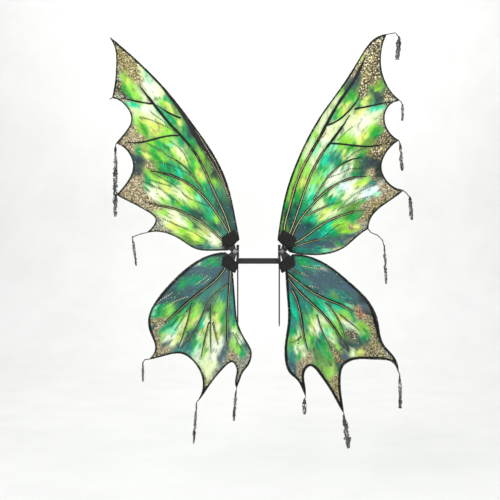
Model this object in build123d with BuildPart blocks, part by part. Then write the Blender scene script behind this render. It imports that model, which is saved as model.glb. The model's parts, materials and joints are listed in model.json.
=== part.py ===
from build123d import *
import os
from math import atan2, cos, degrees, hypot, radians, sin

# Large pair of fairy wings for a corset back: four wire-framed film wings on two steel prongs.
# X runs across the wearer's back, +Y is the way the wearer faces and +Z is up.
# The origin is the middle of the cross bar's face that lies against the wearer's back.
# "left" and "right" are as seen from behind the wearer, so left is at negative X.

os.makedirs("parts", exist_ok=True)

# ---- back frame, millimetres ----
PRONG_SPACING = 174
PRONG_Y = -7
PRONG_RADIUS = 3
SPINDLE_RADIUS = 3.5
LUG_RADIUS = 7
BAR_THICKNESS = 3
BAR_TOP = 12
BAR_BOTTOM = -12
PRONG_BOTTOM = -262
SPIGOT_RADIUS = 1.6
SPIGOT_LENGTH = 7
TIP_RADIUS = 2.4
TIP_LENGTH = 12
TIP_ROUNDING = 2

# ---- hubs ----
BOLT_HEIGHT = 40
BOLT_REACH = 18
SWEEP_BACK = 20
SLEEVE_RADIUS = 5.5
SLEEVE_HALF_HEIGHT = 18
RUNNING_GAP = 0.06
END_GAP = 0.3
COLLAR_RADIUS = 6
COLLAR_HEIGHT = 8
CAP_HEIGHT = 10
COLLAR_CHAMFER = 0.8
SET_SCREW_RADIUS = 1.5
PLATE_RADIUS = 11
BOLT_RADIUS = 3
BOLT_HOLE_RADIUS = 3.08
BOLT_HEAD_WIDTH = 10
BOLT_HEAD_HEIGHT = 4
WASHER_RADIUS = 8
FACE_GAP = 0.1

# ---- layers of the hub, as heights above the prong axis along the pivot bolt ----
HUB_PLATE = (2, 5)
UPPER_PLATE = (6, 8)
LOWER_PLATE = (14, 16)
WASHER_THICKNESS = 1
WING_NUT_HEIGHT = 8
WING_NUT_SPAN = 26
WING_NUT_LEAF = 3
WING_NUT_STEP = 1
BOLT_END = 27

# ---- wings ----
ROOT_PLATE_CORNERS = ((8, 62), (52, 30))
COVER_CORNERS = ((-16, 52), (0, 92), (58, 58), (52, 22), (26, 18))
FILM = 0.4
LYING_GAP = 0.02
ROD_RADIUS = 1.6
EDGE_RADIUS = 1
RIB_RADIUS = 1.2
VEIN_RADIUS = 0.8
RIM_ARCS = 5
EDGE_STOP = 6
ROD_STOP = 30
COVER_THICKNESS = 1.5
COVER_LIFT = 0.1

# ---- streamers, which hang on pins bent from the tail wires ----
TAIL_RADIUS = 1.2
TAIL_BEND = 3
PIN_HEAD_RADIUS = 2
PIN_HEAD_HEIGHT = 1
KNOT_RADIUS = 3.4
KNOT_BORE = 1.4
KNOT_HEIGHT = 2.4
STREAMER_THICKNESS = 0.8
UPPER_STREAMER_LEVEL = 3
LOWER_STREAMER_LEVEL = 22
# Each strip's outline: (share of half its width, share of its length) down one side and up the other.
STREAMER_OUTLINE = (
    (-1, 0.2), (-0.7, 0.55), (-1, 0.75), (0, 1), (0.35, 0.94), (1, 0.7), (0.7, 0.4), (1, 0.15),
)

SIDES = {"left": -1, "right": 1}

# Each wing is laid out flat as (distance out from the pivot bolt, height above it).
# The outline's runs go round from the root: first the leading edge, then one run per scallop.
# A tail is the wire left over past a spike. The last of its points is where a streamer hangs,
# if the tail carries one: its streamer is (lower end, width), or None.
WINGS = {
    "left_upper": {
        "outline": [
            [(-20, 50), (5, 175), (40, 300), (105, 420), (180, 520), (275, 635), (400, 755), (520, 850)],
            [(520, 850), (500, 813), (494, 742), (500, 665), (510, 612)],
            [(510, 612), (460, 587), (433, 530), (457, 477), (494, 432)],
            [(494, 432), (440, 390), (426, 345), (452, 275), (492, 227)],
            [(492, 227), (430, 195), (366, 161), (334, 131), (350, 95), (370, 77)],
            [(370, 77), (298, 78), (240, 55), (166, 12), (85, 5), (28, 6)],
        ],
        "ribs": [
            [(12, 60), (42, 152), (106, 283), (161, 393), (217, 460), (275, 518), (342, 594), (400, 665)],
            [(22, 75), (93, 180), (153, 245), (225, 292), (296, 316), (354, 325)],
            [(45, 40), (93, 83), (149, 125), (200, 151), (254, 173), (309, 184), (380, 200)],
        ],
        "veins": [
            [(30, 235), (56, 297), (90, 355), (127, 410), (166, 462), (196, 510)],
            [(350, 597), (399, 601), (452, 609), (480, 611)],
            [(330, 594), (296, 572), (263, 556), (232, 546)],
            [(242, 473), (296, 467), (338, 455), (391, 440), (455, 438)],
            [(136, 238), (191, 324), (233, 361), (284, 388)],
        ],
        "tails": [
            ([(510, 612), (519, 608), (522, 601)], None),
            ([(494, 432), (499, 425), (498, 416)], ((499, 139), 15)),
            ([(492, 227), (498, 226), (502, 221)], None),
            ([(370, 77), (399, 70), (429, 58)], ((414, -58), 7)),
        ],
    },
    "right_upper": {
        "outline": [
            [(-20, 48), (-8, 130), (23, 265), (75, 396), (160, 548), (246, 660), (330, 782), (385, 850),
             (435, 867)],
            [(435, 867), (416, 810), (413, 745), (441, 657), (488, 601)],
            [(488, 601), (439, 574), (427, 535), (448, 474), (484, 442)],
            [(484, 442), (433, 394), (415, 340), (431, 290), (502, 243)],
            [(502, 243), (431, 192), (372, 135), (362, 92)],
            [(362, 92), (309, 55), (267, 20), (204, -6), (119, -13), (32, -2)],
        ],
        "ribs": [
            [(5, 90), (23, 164), (58, 276), (110, 390), (157, 459), (204, 551), (259, 629), (350, 785)],
            [(24, 62), (45, 110), (97, 254), (161, 388), (221, 464), (285, 553)],
            [(42, 66), (88, 147), (140, 204), (195, 252), (250, 283), (354, 303)],
            [(40, 30), (97, 60), (161, 105), (246, 145), (346, 166)],
        ],
        "veins": [
            [(308, 577), (354, 583), (415, 592), (450, 597)],
            [(192, 517), (246, 540), (290, 578), (320, 615), (330, 640)],
            [(212, 441), (267, 435), (342, 424), (395, 424), (440, 434)],
            [(136, 215), (166, 265), (208, 319), (259, 358), (342, 378)],
            [(104, 148), (161, 175), (225, 198)],
            [(60, 22), (97, 34), (195, 55)],
        ],
        "tails": [
            ([(435, 867), (472, 871), (486, 854)], ((479, 764), 18)),
            ([(488, 601), (497, 594), (500, 583)], ((499, 520), 8)),
            ([(484, 442), (489, 436), (490, 428)], ((499, 321), 12)),
            ([(502, 243), (517, 231), (529, 216)], ((537, 125), 14)),
            ([(362, 92), (372, 78), (399, 66), (421, 46), (427, 22)], ((434, -130), 8)),
        ],
    },
    "left_lower": {
        "outline": [
            [(43, -6), (116, -19), (193, -60), (285, -142), (339, -208), (364, -264), (360, -320),
             (338, -377), (362, -433)],
            [(362, -433), (298, -420), (228, -416), (168, -462), (140, -520), (157, -610)],
            [(157, -610), (112, -551), (50, -482), (10, -460), (-9, -490), (-4, -530), (-7, -566)],
            [(-7, -566), (-20, -535), (-33, -506), (-58, -476), (-72, -426), (-41, -364), (-10, -294),
             (1, -202), (10, -98), (14, -23)],
        ],
        "ribs": [
            [(32, -32), (73, -106), (134, -155), (193, -199), (248, -246), (298, -286)],
            [(22, -42), (25, -140), (32, -243), (28, -418)],
        ],
        "veins": [
            [(34, -137), (69, -164), (112, -204), (146, -274), (180, -338), (202, -391)],
            [(186, -214), (214, -317), (244, -395)],
            [(104, -222), (106, -283), (104, -420)],
            [(114, -296), (130, -360), (146, -430)],
            [(96, -296), (86, -340), (73, -383)],
        ],
        "tails": [
            ([(362, -433), (382, -434), (391, -447)], ((391, -523), 7)),
            ([(157, -610), (165, -616), (168, -626)], ((180, -788), 8)),
            ([(-7, -566), (-7, -575), (-3, -582)], ((7, -705), 10)),
        ],
    },
    "right_lower": {
        "outline": [
            [(47, -13), (121, -23), (206, -63), (290, -128), (360, -195), (400, -271), (427, -374),
             (457, -407), (485, -475)],
            [(485, -475), (457, -436), (396, -431), (298, -439), (260, -466), (249, -511), (252, -580),
             (262, -652)],
            [(262, -652), (210, -566), (163, -503), (121, -471), (98, -494), (96, -540), (101, -593)],
            [(101, -593), (87, -562), (70, -534), (34, -503), (14, -444), (14, -389), (28, -285),
             (25, -202), (17, -98), (14, -44)],
        ],
        "ribs": [
            [(28, -92), (73, -126), (155, -179), (248, -216), (302, -241)],
            [(30, -112), (86, -176), (180, -260), (235, -328), (285, -404)],
            [(45, -160), (73, -226), (91, -325), (112, -406)],
        ],
        "veins": [
            [(24, -52), (77, -90), (119, -102)],
            [(152, -262), (176, -334), (218, -402)],
            [(188, -210), (235, -267), (268, -350)],
            [(250, -258), (283, -283), (327, -317)],
            [(82, -352), (60, -370), (34, -380)],
        ],
        "tails": [
            ([(485, -475), (491, -484), (492, -495)], ((494, -621), 12)),
            ([(262, -652), (265, -657), (265, -664)], ((285, -796), 22)),
            ([(101, -593), (102, -601), (99, -609)], ((99, -672), 16)),
        ],
    },
}


def save(piece, label):
    """Name a finished piece and write it to its own file."""
    piece.part.label = label
    export_step(piece.part, f"parts/{label}.step")


def bolt_plane(side, height):
    """The plane of one side's wings, its origin on the pivot bolt, at a height along that bolt."""
    across = Vector(cos(radians(SWEEP_BACK)), -side * sin(radians(SWEEP_BACK)), 0)
    prong = Vector(side * PRONG_SPACING / 2, PRONG_Y, BOLT_HEIGHT)
    toward_back = Vector(-side * sin(radians(SWEEP_BACK)), -cos(radians(SWEEP_BACK)), 0)
    plane = Plane(origin=prong + across * side * BOLT_REACH, x_dir=across, z_dir=toward_back)
    return plane.offset(height)


def turned(side, points):
    """Wing points as the plane's own coordinates, where outward is negative on the left."""
    return [(side * out, up) for out, up in points]


def round_section(radius):
    """The end of a round wire, its rim in equal arcs so that a long bend stays evenly round."""
    with BuildSketch() as section:
        with BuildLine():
            for arc in range(RIM_ARCS):
                CenterArc((0, 0), radius, 360 / RIM_ARCS * arc, 360 / RIM_ARCS)
        make_face()
    return section.sketch


def bent_wire(plane, points, radius):
    """A round wire through the points, lying on the plane."""
    with BuildPart() as wire:
        with BuildLine(plane) as path:
            Spline(points)
        with BuildSketch(Plane(origin=path.line @ 0, z_dir=path.line % 0)):
            add(round_section(radius))
        sweep(path=path.line)
    return wire.part


def tail_wire(plane, points, drop):
    """A thin wire along the points, its end bent square to the plane by the drop, if there is one."""
    route = [(out, up, 0) for out, up in points]
    if drop:
        route.append((*points[-1], drop))
    with BuildPart() as wire:
        with BuildLine(plane) as path:
            FilletPolyline(*route, radius=TAIL_BEND)
        with BuildSketch(Plane(origin=path.line @ 0, z_dir=path.line % 0)):
            add(round_section(TAIL_RADIUS))
        sweep(path=path.line)
        if drop:
            with BuildSketch(plane.offset(drop)):
                with Locations(points[-1]):
                    Circle(PIN_HEAD_RADIUS)
            extrude(amount=PIN_HEAD_HEIGHT if drop > 0 else -PIN_HEAD_HEIGHT)
    return wire.part


def stop_short(points, gap):
    """The same points with the last one drawn back along the run by the gap."""
    before, last = points[-2], points[-1]
    share = gap / hypot(last[0] - before[0], last[1] - before[1])
    drawn_back = (last[0] + (before[0] - last[0]) * share, last[1] + (before[1] - last[1]) * share)
    return points[:-1] + [drawn_back]


def drawn_in(points, gap):
    """The same points with both ends drawn back by the gap."""
    return stop_short(stop_short(points, gap)[::-1], gap)[::-1]


# ---------- back frame ----------
with BuildPart() as cross_bar:
    with BuildSketch(Plane.XZ):
        with Locations((0, (BAR_TOP + BAR_BOTTOM) / 2)):
            Rectangle(PRONG_SPACING, BAR_TOP - BAR_BOTTOM)
    extrude(amount=BAR_THICKNESS)
    with BuildSketch(Plane.XY.offset(BAR_BOTTOM)):
        with Locations((-PRONG_SPACING / 2, PRONG_Y), (PRONG_SPACING / 2, PRONG_Y)):
            Circle(LUG_RADIUS)
    extrude(amount=BAR_TOP - BAR_BOTTOM)
    with BuildSketch(Plane.XY.offset(BAR_BOTTOM)):
        with Locations((-PRONG_SPACING / 2, PRONG_Y), (PRONG_SPACING / 2, PRONG_Y)):
            Circle(SPINDLE_RADIUS)
    extrude(amount=BAR_TOP - BAR_BOTTOM, mode=Mode.SUBTRACT)
save(cross_bar, "cross_bar")

SLEEVE_BOTTOM = BOLT_HEIGHT - SLEEVE_HALF_HEIGHT
SLEEVE_TOP = BOLT_HEIGHT + SLEEVE_HALF_HEIGHT
CAP_BOTTOM = SLEEVE_TOP + END_GAP
SPINDLE_TOP = CAP_BOTTOM + CAP_HEIGHT / 2
COLLAR_BOTTOM = SLEEVE_BOTTOM - END_GAP - COLLAR_HEIGHT
SCREW_HEIGHT = COLLAR_BOTTOM + COLLAR_HEIGHT / 2

for name, side in SIDES.items():
    with BuildPart() as prong:
        with BuildSketch(Plane.XZ.offset(-PRONG_Y)):
            with BuildLine():
                Polyline(
                    (side * PRONG_SPACING / 2, PRONG_BOTTOM - SPIGOT_LENGTH),
                    (side * PRONG_SPACING / 2 + SPIGOT_RADIUS, PRONG_BOTTOM - SPIGOT_LENGTH),
                    (side * PRONG_SPACING / 2 + SPIGOT_RADIUS, PRONG_BOTTOM),
                    (side * PRONG_SPACING / 2 + PRONG_RADIUS, PRONG_BOTTOM),
                    (side * PRONG_SPACING / 2 + PRONG_RADIUS, BAR_BOTTOM),
                    (side * PRONG_SPACING / 2 + SPINDLE_RADIUS, BAR_BOTTOM),
                    (side * PRONG_SPACING / 2 + SPINDLE_RADIUS, SPINDLE_TOP),
                    (side * PRONG_SPACING / 2, SPINDLE_TOP),
                    close=True,
                )
            make_face()
        revolve(axis=Axis((side * PRONG_SPACING / 2, PRONG_Y, 0), (0, 0, 1)))
    save(prong, f"{name}_prong")

with BuildPart() as prong_tips:
    for side in SIDES.values():
        with BuildSketch(Plane.XY.offset(PRONG_BOTTOM)):
            with Locations((side * PRONG_SPACING / 2, PRONG_Y)):
                Circle(TIP_RADIUS)
        extrude(amount=-TIP_LENGTH)
    fillet(prong_tips.edges().group_by(Axis.Z)[0], TIP_ROUNDING)
    for side in SIDES.values():
        with BuildSketch(Plane.XY.offset(PRONG_BOTTOM)):
            with Locations((side * PRONG_SPACING / 2, PRONG_Y)):
                Circle(SPIGOT_RADIUS)
        extrude(amount=-SPIGOT_LENGTH, mode=Mode.SUBTRACT)
save(prong_tips, "prong_tips")

with BuildPart() as stop_collars:
    for side in SIDES.values():
        with BuildSketch(Plane.XY.offset(COLLAR_BOTTOM)):
            with Locations((side * PRONG_SPACING / 2, PRONG_Y)):
                Circle(COLLAR_RADIUS)
                Circle(SPINDLE_RADIUS, mode=Mode.SUBTRACT)
        extrude(amount=COLLAR_HEIGHT)
    chamfer(stop_collars.edges().filter_by(GeomType.CIRCLE).group_by(SortBy.RADIUS)[-1], COLLAR_CHAMFER)
    for side in SIDES.values():
        screw_plane = Plane((side * PRONG_SPACING / 2, PRONG_Y, SCREW_HEIGHT), z_dir=(0, -1, 0))
        with BuildSketch(screw_plane.offset(SPINDLE_RADIUS)):
            Circle(SET_SCREW_RADIUS)
        extrude(amount=COLLAR_RADIUS, mode=Mode.SUBTRACT)
save(stop_collars, "stop_collars")

with BuildPart() as collar_screws:
    for side in SIDES.values():
        screw_plane = Plane((side * PRONG_SPACING / 2, PRONG_Y, SCREW_HEIGHT), z_dir=(0, -1, 0))
        with BuildSketch(screw_plane.offset(SPINDLE_RADIUS)):
            Circle(SET_SCREW_RADIUS)
        extrude(amount=COLLAR_RADIUS - SPINDLE_RADIUS)
        with BuildSketch(screw_plane.offset(COLLAR_RADIUS - SET_SCREW_RADIUS)):
            RegularPolygon(SET_SCREW_RADIUS / 2, 6)
        extrude(amount=SET_SCREW_RADIUS, mode=Mode.SUBTRACT)
save(collar_screws, "collar_screws")

with BuildPart() as pivot_caps:
    for side in SIDES.values():
        with BuildSketch(Plane.XY.offset(CAP_BOTTOM)):
            with Locations((side * PRONG_SPACING / 2, PRONG_Y)):
                Circle(COLLAR_RADIUS)
        extrude(amount=CAP_HEIGHT)
    fillet(pivot_caps.edges().group_by(Axis.Z)[-1], COLLAR_RADIUS / 2)
    for side in SIDES.values():
        with BuildSketch(Plane.XY.offset(CAP_BOTTOM)):
            with Locations((side * PRONG_SPACING / 2, PRONG_Y)):
                Circle(SPINDLE_RADIUS)
        extrude(amount=SPINDLE_TOP - CAP_BOTTOM, mode=Mode.SUBTRACT)
save(pivot_caps, "pivot_caps")

# ---------- hubs: a sleeve that turns on the prong, with a plate for the pivot bolt ----------
for name, side in SIDES.items():
    prong_offset = -side * BOLT_REACH

    with BuildPart() as hub:
        with BuildSketch(Plane.XY.offset(SLEEVE_BOTTOM)):
            with Locations((side * PRONG_SPACING / 2, PRONG_Y)):
                Circle(SLEEVE_RADIUS)
        extrude(amount=SLEEVE_TOP - SLEEVE_BOTTOM)
        with BuildSketch(bolt_plane(side, HUB_PLATE[0])):
            Circle(PLATE_RADIUS)
            with Locations((prong_offset / 2, 0)):
                Rectangle(BOLT_REACH, 2 * PLATE_RADIUS)
        extrude(amount=HUB_PLATE[1] - HUB_PLATE[0])
        with BuildSketch(bolt_plane(side, HUB_PLATE[0])):
            Circle(BOLT_RADIUS)
        extrude(amount=HUB_PLATE[1] - HUB_PLATE[0], mode=Mode.SUBTRACT)
        with BuildSketch(Plane.XY.offset(SLEEVE_BOTTOM)):
            with Locations((side * PRONG_SPACING / 2, PRONG_Y)):
                Circle(SPINDLE_RADIUS + RUNNING_GAP)
        extrude(amount=SLEEVE_TOP - SLEEVE_BOTTOM, mode=Mode.SUBTRACT)
    save(hub, f"{name}_hub")

    with BuildPart() as pivot_bolt:
        with BuildSketch(bolt_plane(side, HUB_PLATE[0] - BOLT_HEAD_HEIGHT)):
            RegularPolygon(BOLT_HEAD_WIDTH / 2, 6, major_radius=False)
        extrude(amount=BOLT_HEAD_HEIGHT)
        with BuildSketch(bolt_plane(side, HUB_PLATE[0])):
            Circle(BOLT_RADIUS)
        extrude(amount=BOLT_END - HUB_PLATE[0])
    save(pivot_bolt, f"{name}_pivot_bolt")

    with BuildPart() as washers:
        spacer = (UPPER_PLATE[1] + FACE_GAP, LOWER_PLATE[0] - FACE_GAP)
        lower_washer = (HUB_PLATE[1], UPPER_PLATE[0] - FACE_GAP)
        upper_washer = (LOWER_PLATE[1] + FACE_GAP, LOWER_PLATE[1] + FACE_GAP + WASHER_THICKNESS)
        for bottom, top in (lower_washer, spacer, upper_washer):
            with BuildSketch(bolt_plane(side, bottom)):
                Circle(WASHER_RADIUS)
                Circle(BOLT_RADIUS, mode=Mode.SUBTRACT)
            extrude(amount=top - bottom)
    save(washers, f"{name}_washers")

    with BuildPart() as wing_nut:
        nut_bottom = LOWER_PLATE[1] + FACE_GAP + WASHER_THICKNESS
        with BuildSketch(bolt_plane(side, nut_bottom)):
            Circle(BOLT_HEAD_WIDTH / 2)
        extrude(amount=WING_NUT_HEIGHT / 2)
        with BuildSketch(bolt_plane(side, nut_bottom + WING_NUT_STEP)):
            SlotOverall(WING_NUT_SPAN, WING_NUT_LEAF)
        extrude(amount=WING_NUT_HEIGHT)
        with BuildSketch(bolt_plane(side, nut_bottom + WING_NUT_HEIGHT / 2)):
            Circle(BOLT_HEAD_WIDTH / 2)
        extrude(amount=WING_NUT_HEIGHT / 2 + WING_NUT_STEP, mode=Mode.SUBTRACT)
        with BuildSketch(bolt_plane(side, nut_bottom)):
            Circle(BOLT_RADIUS)
        extrude(amount=WING_NUT_HEIGHT, mode=Mode.SUBTRACT)
    save(wing_nut, f"{name}_wing_nut")

# ---------- wings ----------
for name, wing in WINGS.items():
    side = SIDES[name.split("_")[0]]
    is_upper = name.endswith("upper")
    plate = UPPER_PLATE if is_upper else LOWER_PLATE
    film_top = plate[1] + FILM
    runs = [turned(side, run) for run in wing["outline"]]
    lift = 1 if is_upper else -1
    level = UPPER_STREAMER_LEVEL if is_upper else LOWER_STREAMER_LEVEL

    with BuildPart() as root_plate:
        with BuildSketch(bolt_plane(side, plate[0])):
            Circle(PLATE_RADIUS)
            with BuildLine():
                corners = turned(side, [(out, up * lift) for out, up in ROOT_PLATE_CORNERS])
                Polyline((-side * PLATE_RADIUS, 0), *corners, (0, -lift * PLATE_RADIUS), close=True)
            make_face()
            Circle(BOLT_HOLE_RADIUS, mode=Mode.SUBTRACT)
        extrude(amount=plate[1] - plate[0])
    save(root_plate, f"{name}_root_plate")

    with BuildPart() as film:
        with BuildSketch(bolt_plane(side, plate[1])):
            with BuildLine():
                for run in runs:
                    Spline(run)
                Line(runs[-1][-1], runs[0][0])
            make_face()
        extrude(amount=FILM)
    save(film, f"{name}_film")

    with BuildPart() as leading_rod:
        rod_plane = bolt_plane(side, film_top + ROD_RADIUS + LYING_GAP)
        add(bent_wire(rod_plane, stop_short(runs[0], ROD_STOP), ROD_RADIUS))
    save(leading_rod, f"{name}_leading_rod")

    with BuildPart() as edge_wire:
        edge_plane = bolt_plane(side, film_top + EDGE_RADIUS + LYING_GAP)
        tail_height = film_top + TAIL_RADIUS + LYING_GAP
        for run in runs[1:]:
            add(bent_wire(edge_plane, drawn_in(run, EDGE_STOP), EDGE_RADIUS))
        knot_end = level - lift * (KNOT_HEIGHT / 2 + END_GAP)
        drop = knot_end - tail_height
        for points, streamer in wing["tails"]:
            add(tail_wire(bolt_plane(side, tail_height), turned(side, points), drop if streamer else 0))
    save(edge_wire, f"{name}_edge_wire")

    with BuildPart() as ribs:
        rib_plane = bolt_plane(side, film_top + RIB_RADIUS + LYING_GAP)
        for rib in wing["ribs"]:
            add(bent_wire(rib_plane, turned(side, rib), RIB_RADIUS))
    save(ribs, f"{name}_ribs")

    with BuildPart() as veins:
        vein_plane = bolt_plane(side, film_top + VEIN_RADIUS + LYING_GAP)
        for vein in wing["veins"]:
            add(bent_wire(vein_plane, turned(side, vein), VEIN_RADIUS))
    save(veins, f"{name}_veins")

    with BuildPart() as root_cover:
        cover_bottom = film_top + LYING_GAP + 2 * ROD_RADIUS + COVER_LIFT
        with BuildSketch(bolt_plane(side, cover_bottom)):
            with BuildLine():
                Polyline(turned(side, [(out, up * lift) for out, up in COVER_CORNERS]), close=True)
            make_face()
            fillet(vertices(), PLATE_RADIUS / 2)
        extrude(amount=COVER_THICKNESS)
    save(root_cover, f"{name}_root_cover")

    # ---- streamers: a knotted ring on the pin, with a waisted strip hanging from it ----
    hung = [(points[-1], streamer) for points, streamer in wing["tails"] if streamer]
    for number, (pin, (low_end, width)) in enumerate(hung, start=1):
        top = turned(side, [pin])[0]
        bottom = turned(side, [low_end])[0]
        length = hypot(bottom[0] - top[0], bottom[1] - top[1])
        slant = degrees(atan2(bottom[0] - top[0], top[1] - bottom[1]))
        with BuildPart() as streamer_strip:
            flat = bolt_plane(side, level - STREAMER_THICKNESS / 2)
            with BuildSketch(Plane(flat.location * Location((*top, 0), (0, 0, slant)))):
                with BuildLine():
                    sides = [(across * width / 2, -down * length) for across, down in STREAMER_OUTLINE]
                    Polyline((-KNOT_RADIUS / 2, 0), *sides, (KNOT_RADIUS / 2, 0), close=True)
                make_face()
            extrude(amount=STREAMER_THICKNESS)
            with BuildSketch(bolt_plane(side, level - KNOT_HEIGHT / 2)):
                with Locations(top):
                    Circle(KNOT_RADIUS)
            extrude(amount=KNOT_HEIGHT)
            with BuildSketch(bolt_plane(side, level - KNOT_HEIGHT / 2)):
                with Locations(top):
                    Circle(KNOT_BORE)
            extrude(amount=KNOT_HEIGHT, mode=Mode.SUBTRACT)
        save(streamer_strip, f"{name}_streamer_{number}")
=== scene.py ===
"""Fairy wings: painted film, raised veins, edging, leather roots and gauze streamers on the frame."""

import json
import math

import bmesh
import bpy
import numpy as np
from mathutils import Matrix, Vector, geometry, kdtree, noise


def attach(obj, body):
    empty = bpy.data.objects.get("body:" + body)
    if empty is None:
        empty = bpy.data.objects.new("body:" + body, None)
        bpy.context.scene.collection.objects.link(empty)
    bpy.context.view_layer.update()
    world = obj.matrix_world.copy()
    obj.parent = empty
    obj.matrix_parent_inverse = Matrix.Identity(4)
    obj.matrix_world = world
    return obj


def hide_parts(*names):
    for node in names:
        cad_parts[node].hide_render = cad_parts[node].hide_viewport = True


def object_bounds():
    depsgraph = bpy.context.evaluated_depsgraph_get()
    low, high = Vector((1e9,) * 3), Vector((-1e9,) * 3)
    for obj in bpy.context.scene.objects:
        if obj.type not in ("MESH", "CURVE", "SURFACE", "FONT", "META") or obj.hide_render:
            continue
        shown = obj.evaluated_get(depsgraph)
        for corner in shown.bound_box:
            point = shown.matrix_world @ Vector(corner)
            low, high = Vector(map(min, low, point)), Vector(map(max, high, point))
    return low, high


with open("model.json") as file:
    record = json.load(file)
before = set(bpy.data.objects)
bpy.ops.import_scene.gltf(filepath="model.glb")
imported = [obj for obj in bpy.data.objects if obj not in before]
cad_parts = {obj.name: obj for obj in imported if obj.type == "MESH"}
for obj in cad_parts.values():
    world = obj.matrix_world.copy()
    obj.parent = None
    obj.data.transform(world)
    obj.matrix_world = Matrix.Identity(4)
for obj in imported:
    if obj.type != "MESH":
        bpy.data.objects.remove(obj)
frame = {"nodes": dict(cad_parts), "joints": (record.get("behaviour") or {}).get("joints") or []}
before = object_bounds()

MM = 0.001

# ---- the paints, as sRGB shares ----
PAINTS = {
    "ink": (0.08, 0.10, 0.11),
    "navy": (0.13, 0.19, 0.23),
    "slate": (0.24, 0.32, 0.36),
    "deep": (0.11, 0.26, 0.25),
    "teal": (0.20, 0.49, 0.43),
    "emerald": (0.13, 0.58, 0.35),
    "green": (0.25, 0.62, 0.30),
    "leaf": (0.40, 0.56, 0.29),
    "lime": (0.61, 0.84, 0.41),
    "yellow": (0.86, 0.91, 0.54),
    # pale and white are pale paint and also painted reflections on the glossy film.
    "pale": (0.91, 0.96, 0.77),
    "white": (0.95, 0.98, 0.88),
    "mint": (0.58, 0.90, 0.70),
    "aqua": (0.22, 0.80, 0.62),
    "ice": (0.87, 0.94, 0.95),
    "gold": (0.60, 0.54, 0.31),
    "sand": (0.68, 0.61, 0.48),
    "bronze": (0.36, 0.31, 0.21),
    "silver": (0.62, 0.63, 0.58),
    "rust": (0.80, 0.50, 0.32),
    "haze": (0.47, 0.54, 0.58),
}
GLITTERY = ("gold", "sand", "bronze", "silver", "rust")
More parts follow.
